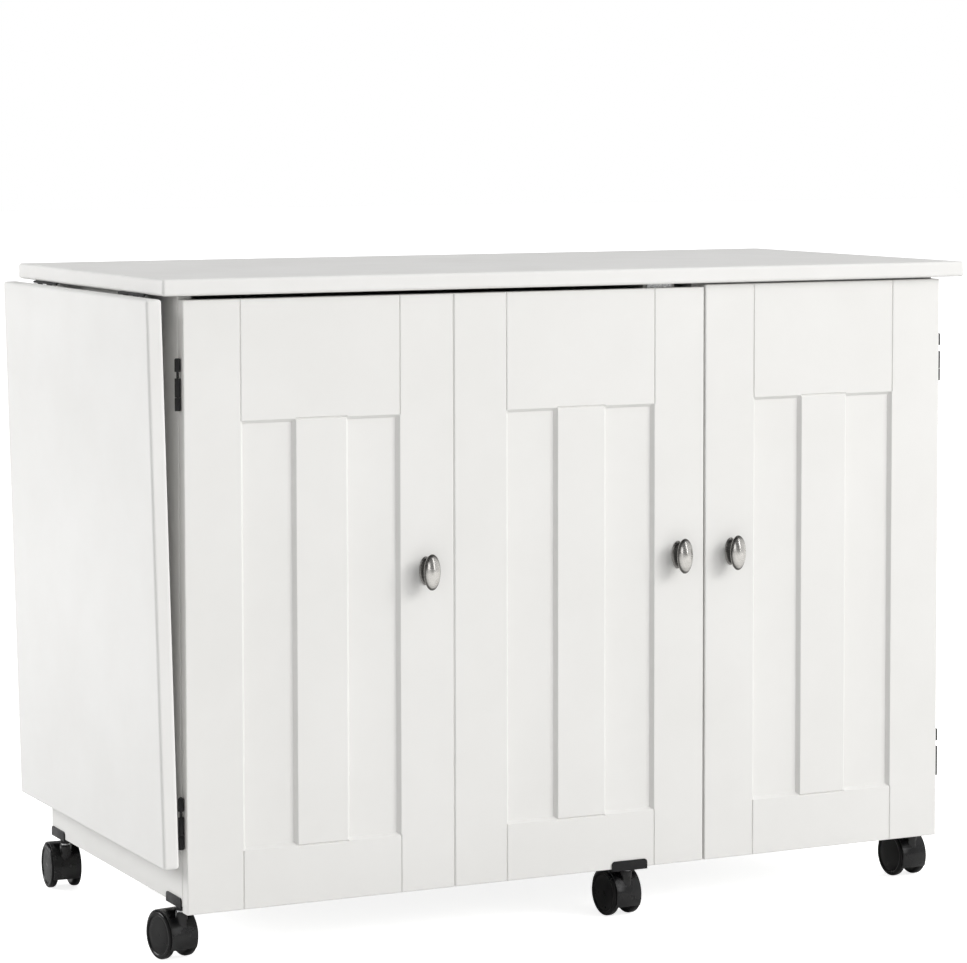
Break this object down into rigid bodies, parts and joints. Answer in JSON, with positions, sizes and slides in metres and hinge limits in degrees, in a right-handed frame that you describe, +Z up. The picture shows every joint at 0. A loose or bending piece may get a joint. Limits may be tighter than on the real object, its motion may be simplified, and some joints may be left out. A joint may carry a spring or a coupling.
{
  "type": "sewing table",
  "caption": "Low cabinet table on twin-wheel casters with an overhanging top, a drop leaf on one side and framed doors, the wide one carried by its own caster.",
  "frame": {"origin": "on the floor, under the middle of the bounding box with the leaf hanging and the doors closed", "axes": "+X towards the right door's hinges, +Y towards the rear, +Z up"},
  "size_m": [1.0185, 0.4961, 0.738],
  "materials": {
    "top_laminate": "white satin laminate on particle board",
    "door_foil": "white satin foil on routed fibreboard",
    "side_laminate": "white satin laminate on particle board",
    "inner_laminate": "white matt laminate",
    "black_metal": "black satin coat on pressed steel",
    "nickel": "satin nickel",
    "steel": "bright zinc plate",
    "caster_plastic": "black nylon, slightly glossy",
    "catch_plastic": "white moulded plastic"
  },
  "bodies": {
    "cabinet": {"tabletop": "top_laminate", "left_side_panel": "side_laminate", "right_side_panel": "side_laminate", "partition_panel": "inner_laminate", "bottom_panel": "inner_laminate", "wide_back_panel": "inner_laminate", "narrow_back_panel": "inner_laminate", "rear_top_rail": "inner_laminate", "front_top_rail": "inner_laminate", "wide_bay_shelf": "inner_laminate", "upper_shelf": "inner_laminate", "lower_shelf": "inner_laminate", "shelf_pins": "steel", "cam_locks": "steel", "cam_bolts": "steel", "magnetic_catches": "catch_plastic", "caster_saddles": "black_metal", "cabinet_screws": "black_metal", "leaf_hinge_top_plates": "black_metal", "leaf_hinge_pins": "black_metal", "left_hinge_side_plates": "black_metal", "right_hinge_side_plates": "black_metal", "door_hinge_pins": "black_metal"},
    "leaf": {"drop_leaf": "top_laminate", "leaf_hinge_leaf_plates": "black_metal", "leaf_screws": "black_metal"},
    "wide_door": {"wide_door_panel": "door_foil", "wide_door_hinge_plates": "black_metal", "wide_door_left_knob": "nickel", "wide_door_right_knob": "nickel", "wide_door_screws": "black_metal", "wide_door_strike": "steel", "door_caster_saddle": "black_metal"},
    "right_door": {"right_door_panel": "door_foil", "right_door_hinge_plates": "black_metal", "right_door_knob": "nickel", "right_door_screws": "black_metal", "right_door_strike": "steel"},
    "front_left_caster": {"front_left_caster_hood": "caster_plastic", "front_left_caster_stem": "steel"},
    "front_left_caster_left_wheel": {"front_left_caster_left_wheel": "caster_plastic"},
    "front_left_caster_right_wheel": {"front_left_caster_right_wheel": "caster_plastic"},
    "rear_left_caster": {"rear_left_caster_hood": "caster_plastic", "rear_left_caster_stem": "steel"},
    "rear_left_caster_left_wheel": {"rear_left_caster_left_wheel": "caster_plastic"},
    "rear_left_caster_right_wheel": {"rear_left_caster_right_wheel": "caster_plastic"},
    "front_right_caster": {"front_right_caster_hood": "caster_plastic", "front_right_caster_stem": "steel"},
    "front_right_caster_left_wheel": {"front_right_caster_left_wheel": "caster_plastic"},
    "front_right_caster_right_wheel": {"front_right_caster_right_wheel": "caster_plastic"},
    "rear_right_caster": {"rear_right_caster_hood": "caster_plastic", "rear_right_caster_stem": "steel"},
    "rear_right_caster_left_wheel": {"rear_right_caster_left_wheel": "caster_plastic"},
    "rear_right_caster_right_wheel": {"rear_right_caster_right_wheel": "caster_plastic"},
    "door_caster": {"door_caster_hood": "caster_plastic", "door_caster_stem": "steel"},
    "door_caster_left_wheel": {"door_caster_left_wheel": "caster_plastic"},
    "door_caster_right_wheel": {"door_caster_right_wheel": "caster_plastic"}
  },
  "joints": [
    {"name": "leaf_hinge", "type": "hinge", "parent": "cabinet", "child": "leaf", "pos_m": [-0.4898, 0.00525, 0.7185], "axis": [0, 1, 0], "range_deg": [0, 91.4]},
    {"name": "wide_door_hinge", "type": "hinge", "parent": "cabinet", "child": "wide_door", "pos_m": [-0.4667, -0.21505, 0.39], "axis": [0, 0, -1], "range_deg": [0, 90]},
    {"name": "right_door_hinge", "type": "hinge", "parent": "cabinet", "child": "right_door", "pos_m": [0.4853, -0.21505, 0.39], "axis": [0, 0, 1], "range_deg": [0, 180]},
    {"name": "front_left_caster_swivel", "type": "hinge", "parent": "cabinet", "child": "front_left_caster", "pos_m": [-0.4552, -0.18375, 0.06], "axis": [0, 0, 1], "continuous": true},
    {"name": "front_left_caster_left_wheel_spin", "type": "hinge", "parent": "front_left_caster", "child": "front_left_caster_left_wheel", "pos_m": [-0.45867, -0.16405, 0.026], "axis": [0.9848, 0.1736, 0], "continuous": true},
    {"name": "front_left_caster_right_wheel_spin", "type": "hinge", "parent": "front_left_caster", "child": "front_left_caster_right_wheel", "pos_m": [-0.45867, -0.16405, 0.026], "axis": [0.9848, 0.1736, 0], "continuous": true},
    {"name": "rear_left_caster_swivel", "type": "hinge", "parent": "cabinet", "child": "rear_left_caster", "pos_m": [-0.4552, 0.20025, 0.06], "axis": [0, 0, 1], "continuous": true},
    {"name": "rear_left_caster_left_wheel_spin", "type": "hinge", "parent": "rear_left_caster", "child": "rear_left_caster_left_wheel", "pos_m": [-0.45381, 0.2202, 0.026], "axis": [0.9976, -0.0698, 0], "continuous": true},
    {"name": "rear_left_caster_right_wheel_spin", "type": "hinge", "parent": "rear_left_caster", "child": "rear_left_caster_right_wheel", "pos_m": [-0.45381, 0.2202, 0.026], "axis": [0.9976, -0.0698, 0], "continuous": true},
    {"name": "front_right_caster_swivel", "type": "hinge", "parent": "cabinet", "child": "front_right_caster", "pos_m": [0.4738, -0.18375, 0.06], "axis": [0, 0, 1], "continuous": true},
    {"name": "front_right_caster_left_wheel_spin", "type": "hinge", "parent": "front_right_caster", "child": "front_right_caster_left_wheel", "pos_m": [0.47345, -0.16375, 0.026], "axis": [0.9998, 0.0175, 0], "continuous": true},
    {"name": "front_right_caster_right_wheel_spin", "type": "hinge", "parent": "front_right_caster", "child": "front_right_caster_right_wheel", "pos_m": [0.47345, -0.16375, 0.026], "axis": [0.9998, 0.0175, 0], "continuous": true},
    {"name": "rear_right_caster_swivel", "type": "hinge", "parent": "cabinet", "child": "rear_right_caster", "pos_m": [0.4738, 0.20025, 0.06], "axis": [0, 0, 1], "continuous": true},
    {"name": "rear_right_caster_left_wheel_spin", "type": "hinge", "parent": "rear_right_caster", "child": "rear_right_caster_left_wheel", "pos_m": [0.47241, 0.2202, 0.026], "axis": [0.9976, 0.0698, 0], "continuous": true},
    {"name": "rear_right_caster_right_wheel_spin", "type": "hinge", "parent": "rear_right_caster", "child": "rear_right_caster_right_wheel", "pos_m": [0.47241, 0.2202, 0.026], "axis": [0.9976, 0.0698, 0], "continuous": true},
    {"name": "door_caster_swivel", "type": "hinge", "parent": "wide_door", "child": "door_caster", "pos_m": [0.0703, -0.21575, 0.06], "axis": [0, 0, 1], "continuous": true},
    {"name": "door_caster_left_wheel_spin", "type": "hinge", "parent": "door_caster", "child": "door_caster_left_wheel", "pos_m": [0.0689, -0.1958, 0.026], "axis": [0.9976, 0.0698, 0], "continuous": true},
    {"name": "door_caster_right_wheel_spin", "type": "hinge", "parent": "door_caster", "child": "door_caster_right_wheel", "pos_m": [0.0689, -0.1958, 0.026], "axis": [0.9976, 0.0698, 0], "continuous": true}
  ]
}
